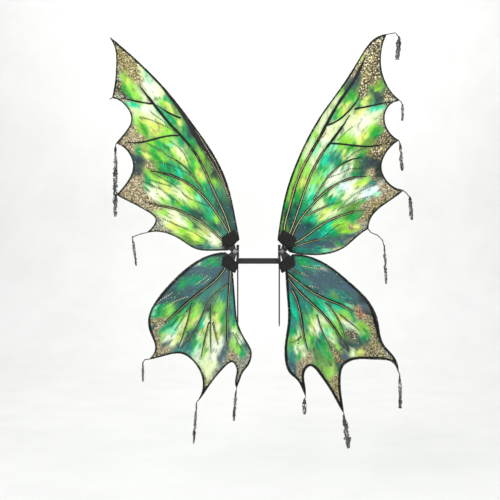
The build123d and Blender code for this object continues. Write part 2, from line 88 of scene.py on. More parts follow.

# ---- where each paint lies on each wing: (out from the bolt, up from it, size), millimetres ----
# The white and pale spots are partly pale paint and partly painted reflections of the glossy film.
PAINT = {
    "left_upper": {
        "gold": [(510, 840, 13), (490, 810, 22), (465, 770, 26), (440, 740, 26), (480, 740, 17),
            (420, 710, 17), (405, 690, 13), (385, 450, 13), (360, 335, 11), (365, 215, 13)],
        "silver": [(490, 705, 11), (480, 610, 13), (460, 620, 9), (335, 120, 13), (310, 95, 13),
            (360, 85, 11)],
        "bronze": [(490, 665, 13), (495, 630, 11), (475, 625, 13), (455, 210, 9)],
        "lime": [(470, 700, 13), (440, 665, 17), (425, 635, 17), (405, 610, 13), (310, 610, 17),
            (410, 530, 13), (410, 485, 13), (290, 500, 22), (275, 480, 13), (365, 440, 13), (295, 455, 17),
            (255, 375, 17), (305, 385, 13), (155, 365, 22), (150, 295, 13), (150, 410, 17), (95, 295, 13),
            (340, 310, 17), (190, 250, 17), (170, 200, 17), (295, 210, 13), (235, 200, 13), (80, 140, 13),
            (305, 160, 17), (190, 105, 17), (210, 80, 17), (150, 45, 17)],
        "yellow": [(455, 685, 13), (280, 590, 17), (230, 520, 11), (390, 530, 13), (350, 500, 22),
            (325, 515, 17), (265, 405, 13), (220, 375, 17), (370, 390, 15), (145, 315, 13), (295, 265, 22),
            (210, 270, 17), (190, 220, 13), (255, 105, 17), (170, 65, 17), (125, 80, 17)],
        "green": [(465, 655, 13), (440, 625, 13), (390, 515, 15), (385, 490, 17), (325, 440, 17),
            (340, 400, 17), (325, 370, 17), (190, 375, 17), (185, 435, 17), (185, 340, 17), (295, 305, 17),
            (210, 290, 17), (170, 240, 13)],
        "navy": [(470, 635, 11), (405, 360, 17), (405, 320, 17)],
        "pale": [(390, 625, 17), (365, 610, 13), (400, 720, 13), (315, 645, 17), (425, 555, 17),
            (360, 545, 17), (315, 540, 13), (235, 400, 22), (315, 240, 22), (240, 245, 17), (220, 225, 13),
            (275, 155, 17), (220, 110, 13), (295, 135, 13), (70, 40, 17)],
        "mint": [(385, 720, 11), (365, 685, 13), (450, 595, 13), (275, 435, 13), (155, 225, 17)],
        "white": [(385, 675, 17), (350, 660, 22), (335, 645, 17), (390, 585, 17), (370, 575, 17),
            (350, 230, 17), (240, 130, 13), (95, 55, 22)],
        "emerald": [(290, 625, 13), (270, 615, 13), (290, 555, 13), (265, 535, 17), (215, 500, 13),
            (290, 420, 17), (240, 450, 13), (405, 410, 13), (310, 355, 17), (275, 340, 22), (245, 350, 13),
            (210, 460, 13), (125, 255, 22), (165, 260, 13), (170, 450, 13), (365, 290, 17), (265, 280, 17),
            (190, 275, 13), (380, 255, 11), (265, 210, 13), (215, 180, 17), (115, 165, 17), (95, 95, 13)],
        "leaf": [(255, 580, 13), (350, 360, 13), (155, 415, 17), (120, 355, 22), (190, 45, 13), (30, 25, 9)],
        "aqua": [(320, 570, 13), (300, 540, 13), (285, 520, 11), (425, 590, 13), (235, 325, 17),
            (115, 170, 13)],
        "deep": [(200, 490, 13), (60, 195, 17), (185, 160, 17), (150, 150, 17), (85, 105, 17),
            (170, 105, 13), (125, 80, 13), (55, 25, 13), (20, 50, 17), (35, 125, 13), (5, 80, 13),
            (20, 175, 13)],
        "sand": [(475, 435, 13), (450, 465, 17), (425, 490, 17), (405, 465, 17), (450, 420, 13),
            (370, 350, 13), (390, 305, 13), (470, 235, 13), (440, 265, 17), (415, 285, 13), (440, 220, 17),
            (400, 245, 17), (390, 205, 17), (360, 195, 17), (340, 180, 17)],
        "slate": [(415, 375, 13), (155, 20, 13)],
        "teal": [(95, 255, 17), (125, 205, 17), (45, 80, 17), (105, 20, 13)],
        "ink": [(185, 505, 17), (150, 445, 17), (115, 385, 17), (90, 330, 17)],
    },
    "right_upper": {
        "bronze": [(405, 840, 17), (395, 780, 17), (385, 810, 17), (370, 745, 22), (395, 705, 17),
            (360, 675, 17), (345, 645, 17), (435, 630, 13),
            (445, 600, 13), (435, 465, 13), (460, 445, 17), (405, 410, 17), (410, 375, 17), (380, 160, 13),
            (395, 295, 13)],
        "gold": [(360, 715, 17), (390, 675, 17), (375, 770, 13),
            (315, 745, 9), (425, 425, 17), (370, 400, 13), (405, 190, 17), (355, 145, 13), (430, 200, 13),
            (290, 105, 13)],
        "sand": [(335, 630, 9), (290, 715, 11), (180, 485, 9), (425, 520, 11), (425, 545, 9),
            (430, 260, 17), (460, 255, 13), (475, 240, 13), (420, 220, 17), (370, 185, 17), (340, 120, 13),
            (365, 310, 13)],
        "yellow": [(340, 780, 9), (265, 590, 17), (350, 605, 13), (330, 560, 17), (340, 460, 22),
            (265, 390, 11), (95, 285, 17), (330, 275, 13), (185, 160, 17), (310, 105, 13)],
        "lime": [(255, 650, 11), (145, 465, 13), (90, 360, 13), (60, 290, 13), (30, 225, 13),
            (245, 565, 17), (310, 625, 11), (405, 655, 13), (290, 460, 17), (380, 495, 13), (265, 450, 17),
            (255, 415, 13), (120, 330, 17), (170, 295, 13), (135, 280, 13), (340, 285, 13), (225, 180, 13),
            (265, 110, 13), (280, 85, 13), (225, 110, 13)],
        "pale": [(230, 610, 13), (195, 550, 13), (170, 505, 13), (120, 420, 11), (305, 535, 22),
            (390, 550, 17), (265, 505, 17), (205, 495, 17), (230, 515, 13), (245, 520, 13), (215, 470, 13),
            (290, 380, 13), (170, 425, 13), (140, 375, 17), (225, 240, 13), (265, 220, 13), (160, 190, 17),
            (215, 155, 13), (245, 15, 13), (225, 5, 11)],
        "green": [(25, 195, 13), (290, 635, 17), (265, 615, 13), (230, 570, 13), (385, 665, 13),
            (395, 485, 17), (290, 415, 17), (90, 265, 13), (75, 235, 13), (185, 335, 13), (190, 235, 13),
            (255, 225, 11), (240, 200, 13), (340, 205, 13), (295, 145, 17), (240, 35, 9)],
        "leaf": [(5, 110, 13), (415, 670, 11), (380, 610, 13), (370, 450, 17), (340, 410, 17),
            (320, 360, 17), (310, 345, 13), (310, 190, 17), (290, 175, 13), (245, 80, 13)],
        "navy": [(305, 705, 17), (400, 630, 17), (410, 610, 13), (385, 355, 22)],
        "deep": [(295, 670, 17), (380, 640, 13), (355, 355, 17), (355, 375, 13), (330, 320, 13),
            (100, 105, 17), (110, 100, 13), (40, 110, 13), (30, 150, 13), (55, 195, 13)],
        "emerald": [(215, 540, 13), (315, 615, 13), (330, 595, 13), (400, 465, 9), (330, 385, 13),
            (310, 315, 13), (250, 360, 13), (265, 350, 11), (90, 190, 17), (65, 215, 13), (160, 345, 13),
            (100, 190, 13), (120, 140, 17), (205, 210, 17), (315, 135, 13), (170, 100, 17), (225, 65, 13)],
        "silver": [(465, 590, 11), (340, 105, 13), (295, 45, 11), (320, 65, 11)],
        "aqua": [(385, 580, 13), (405, 570, 13), (185, 380, 17), (125, 220, 13), (130, 135, 13),
            (210, 205, 13), (205, 110, 13), (185, 80, 13)],
        "white": [(345, 530, 22), (320, 490, 17), (185, 465, 13), (215, 300, 17), (245, 325, 13),
            (290, 340, 9), (290, 265, 22), (330, 220, 13)],
        "mint": [(225, 430, 13), (205, 420, 13), (145, 420, 13), (185, 315, 17), (125, 255, 17),
            (395, 225, 9), (245, 250, 13), (125, 180, 13), (195, 0, 11)],
        "ink": [(410, 335, 17), (405, 305, 13)],
        "teal": [(215, 390, 17), (240, 380, 17), (75, 165, 13), (380, 280, 13), (155, 75, 17),
            (125, 60, 13), (95, 5, 13), (160, 10, 13), (55, 0, 13)],
        "ice": [(265, 260, 17), (390, 245, 17), (360, 230, 17)],
        "slate": [(75, 80, 17), (85, 110, 13), (50, 55, 13), (245, 45, 17), (160, 40, 17), (205, 25, 17),
            (120, 20, 17), (290, 65, 13)],
    },
    "left_lower": {
        "deep": [(55, -15, 17), (55, -45, 13), (215, -95, 17), (270, -165, 17), (235, -190, 17),
            (300, -195, 17), (215, -210, 17), (170, -330, 13), (170, -355, 9)],
        "green": [(100, -40, 13), (220, -130, 13), (305, -255, 13), (250, -255, 17), (145, -225, 13),
            (170, -375, 13), (95, -260, 11), (50, -275, 13), (-30, -405, 9)],
        "emerald": [(125, -50, 13), (85, -60, 13), (230, -135, 17), (165, -115, 17), (310, -230, 13),
            (325, -250, 13), (220, -230, 17), (195, -225, 13), (275, -300, 17), (300, -320, 13),
            (160, -300, 13), (170, -355, 11), (0, -295, 13), (-35, -435, 13)],
        "teal": [(130, -35, 13), (185, -135, 13), (140, -115, 13), (245, -400, 13), (205, -395, 13),
            (130, -185, 13), (45, -180, 13), (55, -210, 13), (50, -160, 13), (10, -200, 13), (10, -250, 13)],
        "white": [(150, -45, 9), (275, -345, 13), (170, -420, 13), (65, -380, 13), (85, -405, 17),
            (95, -435, 13), (-20, -360, 13)],
        "slate": [(170, -70, 22), (130, -85, 22), (85, -85, 17), (245, -125, 17), (300, -175, 22),
            (195, -165, 22), (150, -150, 17), (330, -210, 13), (355, -275, 9), (350, -315, 11),
            (290, -375, 13), (255, -390, 9), (130, -210, 17), (30, -245, 9), (30, -345, 13),
            (50, -415, 17), (65, -450, 13), (15, -70, 13), (35, -100, 13), (15, -140, 13), (-45, -390, 9)],
        "mint": [(345, -240, 9), (250, -295, 11), (270, -320, 13), (170, -395, 13)],
        "lime": [(285, -235, 13), (275, -245, 13), (235, -280, 13), (300, -340, 9), (160, -230, 13),
            (175, -260, 13), (195, -310, 13), (215, -335, 9), (120, -335, 13), (140, -370, 13),
            (125, -405, 13), (80, -240, 13), (60, -230, 11), (0, -320, 13), (5, -390, 13), (-15, -410, 13)],
        "gold": [(325, -280, 17), (310, -380, 13), (340, -415, 13), (135, -520, 13)],
        "sand": [(305, -285, 13), (330, -315, 13), (325, -355, 13), (320, -400, 13), (285, -405, 11),
            (165, -290, 9), (130, -570, 13), (15, -430, 13), (5, -460, 13)],
        "silver": [(350, -430, 9), (40, -465, 11), (85, -505, 9), (-25, -460, 13), (-55, -445, 11),
            (-50, -480, 11), (-20, -530, 11), (-10, -555, 9)],
        "pale": [(270, -365, 11), (225, -310, 13), (235, -370, 11), (115, -290, 13), (140, -355, 13),
            (110, -325, 13), (115, -385, 13), (80, -315, 13), (115, -455, 17), (125, -495, 17),
            (100, -475, 13), (5, -340, 13)],
        "yellow": [(200, -290, 13), (170, -280, 11), (245, -345, 13), (130, -315, 11), (85, -285, 13),
            (75, -350, 13)],
        "navy": [(200, -335, 13), (220, -380, 17)],
        "ink": [(110, -235, 11)],
        "aqua": [(140, -290, 11)],
        "leaf": [(45, -320, 13)],
    },
    "right_lower": {
        "slate": [(35, -25, 13), (185, -95, 22), (120, -100, 17), (225, -135, 22), (165, -145, 22),
            (270, -135, 17), (25, -55, 13), (35, -130, 13), (325, -210, 17), (350, -235, 13),
            (30, -460, 13), (50, -485, 13), (210, -215, 9), (250, -350, 9), (270, -435, 11)],
        "deep": [(60, -45, 13), (50, -85, 13), (290, -195, 17), (300, -215, 13), (160, -370, 13),
            (330, -365, 17), (365, -355, 13), (305, -380, 17), (140, -405, 13), (240, -465, 9)],
        "emerald": [(95, -40, 17), (60, -105, 11), (235, -200, 13), (260, -220, 13), (45, -325, 13),
            (120, -250, 13), (155, -220, 13), (205, -205, 11), (165, -355, 13), (310, -270, 13),
            (290, -250, 11), (340, -340, 11), (170, -395, 13)],
        "green": [(90, -50, 13), (45, -400, 11), (70, -430, 13), (110, -290, 13), (130, -365, 13),
            (205, -300, 9), (185, -385, 13), (255, -305, 13), (355, -330, 13), (205, -425, 13)],
        "teal": [(70, -70, 13), (140, -50, 17), (80, -140, 13), (120, -165, 13), (100, -120, 11),
            (195, -170, 13), (270, -190, 17), (250, -170, 13), (50, -215, 17), (45, -285, 17),
            (45, -435, 17), (90, -220, 17), (110, -210, 13), (105, -315, 13)],
        "mint": [(145, -60, 9), (290, -225, 11), (105, -385, 9), (210, -270, 13), (195, -245, 13),
            (200, -320, 13), (185, -340, 11)],
        "silver": [(175, -70, 9), (440, -405, 9), (80, -540, 9)],
        "leaf": [(220, -180, 13), (220, -375, 11), (270, -340, 11), (170, -425, 17), (200, -450, 17),
            (155, -465, 13), (225, -475, 13)],
        "ink": [(340, -195, 13), (370, -255, 13), (395, -295, 13), (410, -345, 13), (265, -380, 9),
            (280, -380, 13)],
        "rust": [(325, -240, 13), (340, -250, 13)],
        "sand": [(320, -260, 13), (65, -510, 11), (240, -595, 11), (100, -455, 13), (120, -435, 13),
            (80, -490, 11)],
        "gold": [(345, -270, 13), (370, -295, 13), (380, -335, 13), (395, -375, 17), (420, -400, 13),
            (350, -400, 13), (225, -420, 13), (240, -435, 11), (225, -515, 13), (225, -555, 13),
            (115, -460, 11)],
        "bronze": [(380, -275, 13), (395, -425, 13), (290, -340, 13), (305, -340, 13), (255, -450, 13)],
        "yellow": [(325, -400, 13), (130, -290, 11), (260, -270, 13), (215, -470, 11)],
        "pale": [(295, -410, 11), (70, -360, 13), (90, -410, 13), (130, -330, 13), (175, -280, 11),
            (215, -355, 11)],
        "aqua": [(40, -210, 11), (50, -245, 13), (170, -230, 13), (230, -220, 13)],
        "lime": [(50, -380, 13), (80, -380, 13), (140, -270, 13), (115, -330, 11), (105, -365, 11),
            (130, -395, 13), (230, -280, 13), (230, -305, 13), (190, -300, 13), (220, -330, 11),
            (235, -385, 9), (255, -240, 13), (275, -260, 13), (330, -295, 13), (315, -310, 13),
            (250, -330, 9), (355, -310, 11), (205, -490, 11)],
        "white": [(65, -405, 13), (145, -290, 13), (155, -315, 13), (280, -290, 13), (300, -305, 13)],
    },
}
DOTS = {
    "left_upper": [
        [(242, 483), (292, 509), (358, 532), (399, 540)],
        [(267, 503), (317, 537), (354, 563)],
        [(187, 334), (204, 375), (221, 407), (242, 426), (275, 449)],
        [(370, 437), (338, 422), (304, 403), (284, 388)],
        [(191, 314), (233, 337), (275, 352), (317, 362)],
        [(114, 188), (149, 200), (191, 215), (221, 235)],
        [(212, 227), (233, 251), (267, 275), (296, 290), (338, 313)],
        [(242, 198), (275, 226), (317, 253), (358, 272), (387, 280)],
        [(275, 266), (317, 277), (358, 288)],
        [(204, 92), (242, 104), (275, 120), (304, 132)],
        [(119, 43), (149, 60), (170, 76)],
        [(166, 105), (204, 141), (233, 153)],
    ],
    "right_upper": [
        [(296, 505), (267, 482), (238, 455)],
        [(279, 380), (309, 403), (354, 418)],
        [(191, 301), (246, 316), (288, 335), (338, 337)],
        [(395, 271), (350, 252), (309, 233), (267, 201), (238, 169)],
        [(379, 223), (329, 212), (288, 193), (254, 177)],
        [(106, 147), (161, 170), (212, 194)],
        [(170, 55), (212, 88), (238, 108)],
    ],
    "left_lower": [
        [(112, -291), (130, -364), (147, -434)],
        [(95, -283), (74, -383)],
        [(8, -340), (-23, -399)],
        [(-5, -344), (-40, -396)],
        [(193, -231), (244, -271), (277, -306)],
        [(219, -263), (256, -319)],
    ],
    "right_lower": [
        [(74, -358), (65, -404)],
        [(269, -384), (240, -409)],
        [(164, -68), (125, -60)],
        [(155, -166), (117, -151)],
    ],
}
CREAM_DOTS = {
    "left_upper": [
        [(-8, 110), (10, 194), (41, 276), (80, 367), (123, 431), (166, 499)],
    ],
    "right_upper": [
        [(6, 89), (19, 152), (36, 222), (62, 297), (88, 358), (119, 419), (153, 479)],
    ],
    "left_lower": [
        [(269, -169), (311, -192), (331, -208)],
        [(206, -186), (236, -194), (269, -209), (290, -225)],
        [(121, -101), (164, -133)],
        [(108, -109), (138, -134)],
    ],
    "right_lower": [
        [(91, -60), (142, -68), (176, -72)],
        [(87, -89), (112, -101)],
        [(121, -142), (155, -150)],
    ],
}

# Half the width of the black paint along each rib, the longest rib first, and along each vein.
RIB_BANDS = {
    "left_upper": [5.0, 4.6, 4.4],
    "right_upper": [5.8, 4.8, 4.8, 4.2],
    "left_lower": [3.6, 5.6],
    "right_lower": [5.0, 5.2, 5.6],
}
VEIN_BAND = 2.8
# The black band along each leading edge: its width at the ends, how much wider it grows, and where.
LEADING_BANDS = {
    "left_upper": (2.6, 20.0, 430.0, 180.0),
    "right_upper": (3.0, 1.5, 300.0, 170.0),
    "left_lower": (4.5, 4.0, -120.0, 90.0),
    "right_lower": (5.0, 8.0, -270.0, 80.0),
}
# How strongly the cream line shows on the tops of each wing's ribs and veins: partly gold paint, partly a
# painted highlight.
CREAM_SHARE = {"left_upper": 0.98, "right_upper": 1.05, "left_lower": 1.25, "right_lower": 1.2}
# How wide the black paint is along the scalloped edges.
EDGE_BANDS = {"left_upper": 2.4, "right_upper": 3.0, "left_lower": 4.0, "right_lower": 8.0}

# Sizes of the visible pieces, in millimetres.
FILM_STEP = 3.6
FILM_THICKNESS = 0.35
RIM_GAP = 1.2
BILLOW = 2.6
PAINT_SOFTNESS = 2.5
EDGING_RADIUS = 2.5
LEADING_RADIUS = 3.3
RIB_RADII = (2.3, 1.4)
VEIN_RADII = (1.7, 1.0)
DOT_RADIUS = 2.6
DOT_GAP = 9.5
CREAM_DOT_GAP = 9.0
COVER_STEP = 1.5
PAD_THICKNESS = 1.9
PAD_EDGE = 0.8
WRAP_RADIUS = 1.9
WRAP_STEP = 3.0
# Streamers: the frayed edge past the CAD strip, and the cut's width against the width that shows.
FRAYED = 4.0
CUT_SHARE = 2.1
LEAST_CUT = 15.0
GAUZE_STEP = 3.0
GAUZE_COLUMNS = 14
GAUZE_THICKNESS = 0.5
# How much grey haze dulls the lower wings' colours.
LOWER_GREY = 0.13

rng = np.random.default_rng(7)


# ---------- wing coordinates ----------
class Spot:
    """Where a wing is: millimetres out from its bolt, up from it, and above the prong axis."""

    def __init__(self, wing):
        joint = next(j for j in frame["joints"] if j["child"] == f"{wing}_wing")
        side = -1 if wing.startswith("left") else 1
        self.bolt = np.array(joint["pos_m"])
        self.normal = side * np.array(joint["axis"])
        self.out = side * np.array([-self.normal[1], self.normal[0], 0.0])
        self.up = np.array([0.0, 0.0, 1.0])

    def flat(self, node):
        """A CAD node's points in this wing's coordinates."""
        co = np.array([v.co for v in frame["nodes"][node].data.vertices])
        return (co - self.bolt) @ np.stack([self.out, self.up, self.normal], axis=1) / MM

    def world(self, points):
        """Points of this wing in the row frame, in metres."""
        return self.bolt + np.asarray(points) * MM @ np.stack([self.out, self.up, self.normal])


def wavy(points, scale, seed=0.0):
    """Smooth noise from -1 to 1 at flat points."""
    return np.array([noise.noise(Vector((p[0] / scale + seed, p[1] / scale, seed * 1.7))) for p in points])


def outline_of(node, spot):
    """The closed run of (out, up) points round a flat node's top face."""
    points = spot.flat(node)
    top = points[:, 2] > points[:, 2].max() - 0.05
    keys = {i: tuple(np.round(points[i, :2], 2)) for i in np.flatnonzero(top)}
    uses = {}
    for polygon in frame["nodes"][node].data.polygons:
        if all(i in keys for i in polygon.vertices):
            ring = [keys[i] for i in polygon.vertices]
            for a, b in zip(ring, ring[1:] + ring[:1]):
                if a != b:
                    edge = tuple(sorted((a, b)))
                    uses[edge] = uses.get(edge, 0) + 1
    beside = {}
    for (a, b), count in uses.items():
        if count == 1:
            beside.setdefault(a, []).append(b)
            beside.setdefault(b, []).append(a)
    start = min(beside)
    loop, last = [start], None
    while True:
        here = loop[-1]
        following = next(p for p in beside[here] if p != last)
        if following == start:
            return np.array(loop)
        last = here
        loop.append(following)


def stepped(loop, step):
    """The same closed run with points about a step apart, its corners kept."""
    before_it, after_it = loop - np.roll(loop, 1, 0), np.roll(loop, -1, 0) - loop
    turn = np.abs(np.arctan2(np.cross(before_it, after_it), (before_it * after_it).sum(1)))
    kept = []
    for i, point in enumerate(loop):
        if kept and turn[i] < 0.4 and np.hypot(*(point - kept[-1])) < step * 0.4:
            continue
        kept.append(point)
    made = []
    for a, b in zip(kept, kept[1:] + kept[:1]):
        count = max(1, round(np.hypot(*(b - a)) / step))
        made += [a + (b - a) * k / count for k in range(count)]
    return np.array(made)


def inside(points, loop):
    """Which points lie within the closed run."""
    found = np.zeros(len(points), bool)
    for (ax, ay), (bx, by) in zip(loop, np.roll(loop, -1, 0)):
        crosses = (ay > points[:, 1]) != (by > points[:, 1])
        if crosses.any():
            at = ax + (points[:, 1] - ay) * (bx - ax) / (by - ay + 1e-12)
            found ^= crosses & (points[:, 0] < at)
    return found


def tree_of(points):
    """A search tree of flat points."""
    tree = kdtree.KDTree(len(points))
    for i, p in enumerate(points):
        tree.insert((p[0], p[1], 0.0), i)
    tree.balance()
    return tree


def rim_tree(loop, step):
    """A search tree of a closed run's rim."""
    return tree_of(spaced(np.vstack([loop, loop[:1]]), step))


def away(points, tree):
    """How far flat points are from the tree's points."""
    return np.array([tree.find((p[0], p[1], 0.0))[2] for p in points])


def spaced(line, step):
    """An open run again, with points about a step apart."""
    along = np.concatenate([[0], np.cumsum(np.linalg.norm(np.diff(line, axis=0), axis=1))])
    at = np.linspace(0, along[-1], max(2, int(along[-1] / step) + 1))
    return np.stack([np.interp(at, along, line[:, k]) for k in range(line.shape[1])], axis=1)


def pieces_of(node, spot):
    """The points of each separate wire in a CAD node."""
    points = spot.flat(node)
    mesh = frame["nodes"][node].data
    names = {}
    for i, p in enumerate(points):
        names.setdefault(tuple(np.round(p, 1)), []).append(i)
    owner = list(range(len(points)))

    def root(i):
        while owner[i] != i:
            owner[i] = owner[owner[i]]
            i = owner[i]
        return i

    for same in names.values():
        for i in same[1:]:
            owner[root(i)] = root(same[0])
    for edge in mesh.edges:
        owner[root(edge.vertices[0])] = root(edge.vertices[1])
    groups = {}
    for i in range(len(points)):
        groups.setdefault(root(i), []).append(i)
    return [points[members] for members in groups.values()]


def tails_of(node, spot, edge_tree):
    """The middle line of each wire that runs on past the film's outline, out to its end."""
    lines = []
    for p in pieces_of(node, spot):
        gap = away(p, edge_tree)
        if gap.max() < 8.0:
            continue
        reach = np.hypot(*(p[:, :2] - p[np.argmin(gap), :2]).T)
        bins = np.round(reach / 4.0)
        line = np.array([p[bins == k].mean(0) for k in sorted(set(bins))])
        if len(line) > 2:
            lines.append(line[:-1])
    return lines


def wires_of(node, spot):
    """The middle line of each separate wire in a CAD node, starting near the bolt."""
    lines = []
    for p in pieces_of(node, spot):
        ends = p[:, :2]
        first = ends[np.argmax(np.linalg.norm(ends - ends.mean(0), axis=1))]
        last = ends[np.argmax(np.linalg.norm(ends - first, axis=1))]
        if np.hypot(*first) > np.hypot(*last):
            first, last = last, first
        along = (last - first) / np.hypot(*(last - first))
        across = np.array([-along[1], along[0]])
        share = (ends - first) @ along / np.hypot(*(last - first))
        fit = np.polynomial.Polynomial.fit(share, (ends - first) @ across, min(8, len(p) // 6))
        at = np.linspace(0, 1, 80)
        line = first + np.outer(at * np.hypot(*(last - first)), along) + np.outer(fit(at), across)
        line = spaced(line, 3.0)
        lines.append(np.column_stack([line, np.full(len(line), p[:, 2].mean())]))
    return sorted(lines, key=lambda line: -len(line))


# ---------- mesh building ----------
def new_piece(name, points, faces, material, body):
    """A mesh piece in the row frame, riding on its body, with its faces turned outward."""
    mesh = bpy.data.meshes.new(name)
    mesh.from_pydata([tuple(p) for p in points], [], faces)
    work = bmesh.new()
    work.from_mesh(mesh)
    bmesh.ops.recalc_face_normals(work, faces=work.faces)
    work.to_mesh(mesh)
    work.free()
    mesh.polygons.foreach_set("use_smooth", [True] * len(mesh.polygons))
    mesh.materials.append(material)
    piece = bpy.data.objects.new(name, mesh)
    bpy.context.scene.collection.objects.link(piece)
    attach(piece, body)
    return piece


def give(piece, name, values, kind="FLOAT"):
    """A value at each point for the material to read."""
    attribute = piece.data.attributes.new(name, kind, "POINT")
    field = {"FLOAT": "value", "FLOAT_VECTOR": "vector", "FLOAT_COLOR": "color"}[kind]
    attribute.data.foreach_set(field, np.asarray(values, np.float32).ravel())


def lanes_of(line, gaps):
    """Flat points running beside a wire, at each of the gaps from its middle."""
    along = np.gradient(line[:, :2], axis=0)
    along /= np.linalg.norm(along, axis=1)[:, None]
    across = np.column_stack([-along[:, 1], along[:, 0]])
    return np.vstack([line[:, :2] + across * gap for gap in gaps])


def meshed(loop, step, lanes=None):
    """Flat points filling a closed run, and the triangles between them."""
    low, high = loop.min(0), loop.max(0)
    rows = np.arange(low[1], high[1], step * 0.866)
    grid = [
        (x + (step / 2 if k % 2 else 0), y)
        for k, y in enumerate(rows)
        for x in np.arange(low[0], high[0], step)
    ]
    grid = np.array(grid)
    grid = grid[inside(grid, loop)]
    edge_tree = rim_tree(loop, 1.0)
    if lanes is not None:
        lanes = lanes[inside(lanes, loop)]
        lanes = lanes[away(lanes, edge_tree) > RIM_GAP]
        grid = np.vstack([grid[away(grid, tree_of(lanes)) > step * 0.5], lanes])
    grid = grid[away(grid, edge_tree) > RIM_GAP]
    points = [Vector(p) for p in loop] + [Vector(p) for p in grid]
    ring = [(i, (i + 1) % len(loop)) for i in range(len(loop))]
    made = geometry.delaunay_2d_cdt(points, ring, [], 1, 1e-5)
    return np.array([tuple(p) for p in made[0]]), [tuple(f) for f in made[2]]


def slab(loop, step, top, thickness, lanes=None):
    """A closed thin solid over a closed run: top gives each flat point's height."""
    flat, triangles = meshed(loop, step, lanes)
    height = top(flat)
    count = len(flat)
    points = np.vstack([np.column_stack([flat, height]), np.column_stack([flat, height - thickness])])
    uses = {}
    for f in triangles:
        for a, b in zip(f, f[1:] + f[:1]):
            uses[(a, b)] = uses.get((a, b), 0) + 1
    rim = [(a, b) for (a, b) in uses if (b, a) not in uses]
    faces = list(triangles)
    faces += [tuple(i + count for i in reversed(f)) for f in triangles]
    faces += [(b, a, a + count, b + count) for a, b in rim]
    return points, faces


def tube(line, radii, normal_turn=0.0, sides=10, closed=False):
    """Points, faces and crest shares of a round wire along wing points; the crest is its top."""
    ahead, behind = np.roll(line, -1, 0), np.roll(line, 1, 0)
    if not closed:
        ahead[-1], behind[0] = line[-1], line[0]
    run = ahead - behind
    run /= np.linalg.norm(run, axis=1)[:, None] + 1e-9
    up = np.array([0.0, 0.0, 1.0])
    side = np.cross(run, up)
    side /= np.linalg.norm(side, axis=1)[:, None] + 1e-9
    points, crest = [], []
    for k in range(sides):
        angle = 2 * math.pi * k / sides
        points.append(line + (side * math.cos(angle) + up * math.sin(angle)) * radii[:, None])
        crest.append(np.full(len(line), max(0.0, math.sin(angle + normal_turn)) ** 4))
    points = np.stack(points, axis=1).reshape(-1, 3)
    crest = np.stack(crest, axis=1).ravel()
    faces = []
    for i in range(len(line) if closed else len(line) - 1):
        j = (i + 1) % len(line)
        for k in range(sides):
            m = (k + 1) % sides
            faces.append((i * sides + k, i * sides + m, j * sides + m, j * sides + k))
    if not closed:
        faces.append(tuple(range(sides)))
        faces.append(tuple((len(line) - 1) * sides + k for k in range(sides)))
    return points, faces, crest


def joined(parts):
    """Several (points, faces, value) parts as one."""
    points, faces, values, start = [], [], [], 0
    for p, f, v in parts:
        points.append(p)
        values.append(v)
        faces += [tuple(i + start for i in face) for face in f]
        start += len(p)
    return np.vstack(points), faces, np.concatenate(values)


def dot(centre, radius, height):
    """A small dome of paint."""
    rings = [(1.0, 0.0), (0.85, 0.45), (0.5, 0.85)]
    sides = 7
    points = [
        (centre[0] + radius * r * math.cos(2 * math.pi * k / sides),
         centre[1] + radius * r * math.sin(2 * math.pi * k / sides),
         height + radius * 0.6 * h)
        for r, h in rings
        for k in range(sides)
    ]
    points.append((centre[0], centre[1], height + radius * 0.6))
    faces = [tuple(range(sides))]
    for ring in range(2):
        for k in range(sides):
            m = (k + 1) % sides
            faces.append((ring * sides + k, ring * sides + m, (ring + 1) * sides + m, (ring + 1) * sides + k))
    faces += [(2 * sides + k, 2 * sides + (k + 1) % sides, 3 * sides) for k in range(sides)]
    return np.array(points), faces, np.zeros(len(points))


# ---------- materials ----------
def linear(colour):
    """An sRGB colour as the renderer's linear one."""
    return tuple(c / 12.92 if c <= 0.04045 else ((c + 0.055) / 1.055) ** 2.4 for c in colour) + (1.0,)


class Nodes:
    """A node material under construction."""

    def __init__(self, name):
        self.material = bpy.data.materials.new(name)
        self.material.use_nodes = True
        self.tree = self.material.node_tree
        self.shader = self.tree.nodes["Principled BSDF"]

    def add(self, kind, **sockets):
        node = self.tree.nodes.new(kind)
        for key, value in sockets.items():
            self.put(node, key, value)
        return node

    def put(self, node, key, value):
        socket = node.inputs[int(key[1:]) if key[0] == "i" and key[1:].isdigit() else key.replace("_", " ")]
        if isinstance(value, bpy.types.NodeSocket):
            self.tree.links.new(value, socket)
        else:
            socket.default_value = value

    def read(self, name, output="Fac"):
        node = self.add("ShaderNodeAttribute")
        node.attribute_name = name
        return node.outputs[output]

    def maths(self, operation, a, b):
        node = self.add("ShaderNodeMath", i0=a, i1=b)
        node.operation = operation
        return node.outputs[0]

    def ramp(self, value, low, high):
        node = self.add("ShaderNodeMapRange", Value=value)
        node.inputs["From Min"].default_value = low
        node.inputs["From Max"].default_value = high
        return node.outputs[0]

    def mix(self, share, a, b):
        node = self.tree.nodes.new("ShaderNodeMix")
        node.data_type = "RGBA"
        self.put(node, "i0", share)
        self.put(node, "i6", a)
        self.put(node, "i7", b)
        return node.outputs[2]

    def noise(self, where, scale, detail=3.0, rough=0.55):
        node = self.add("ShaderNodeTexNoise", Vector=where, Scale=scale, Detail=detail, Roughness=rough)
        return node.outputs["Fac"]

    def cells(self, where, scale, output="Color"):
        node = self.add("ShaderNodeTexVoronoi", Vector=where, Scale=scale)
        return node.outputs[output]

    def bump(self, height, strength, distance):
        node = self.add("ShaderNodeBump", Height=height, Strength=strength, Distance=distance)
        return node.outputs[0]


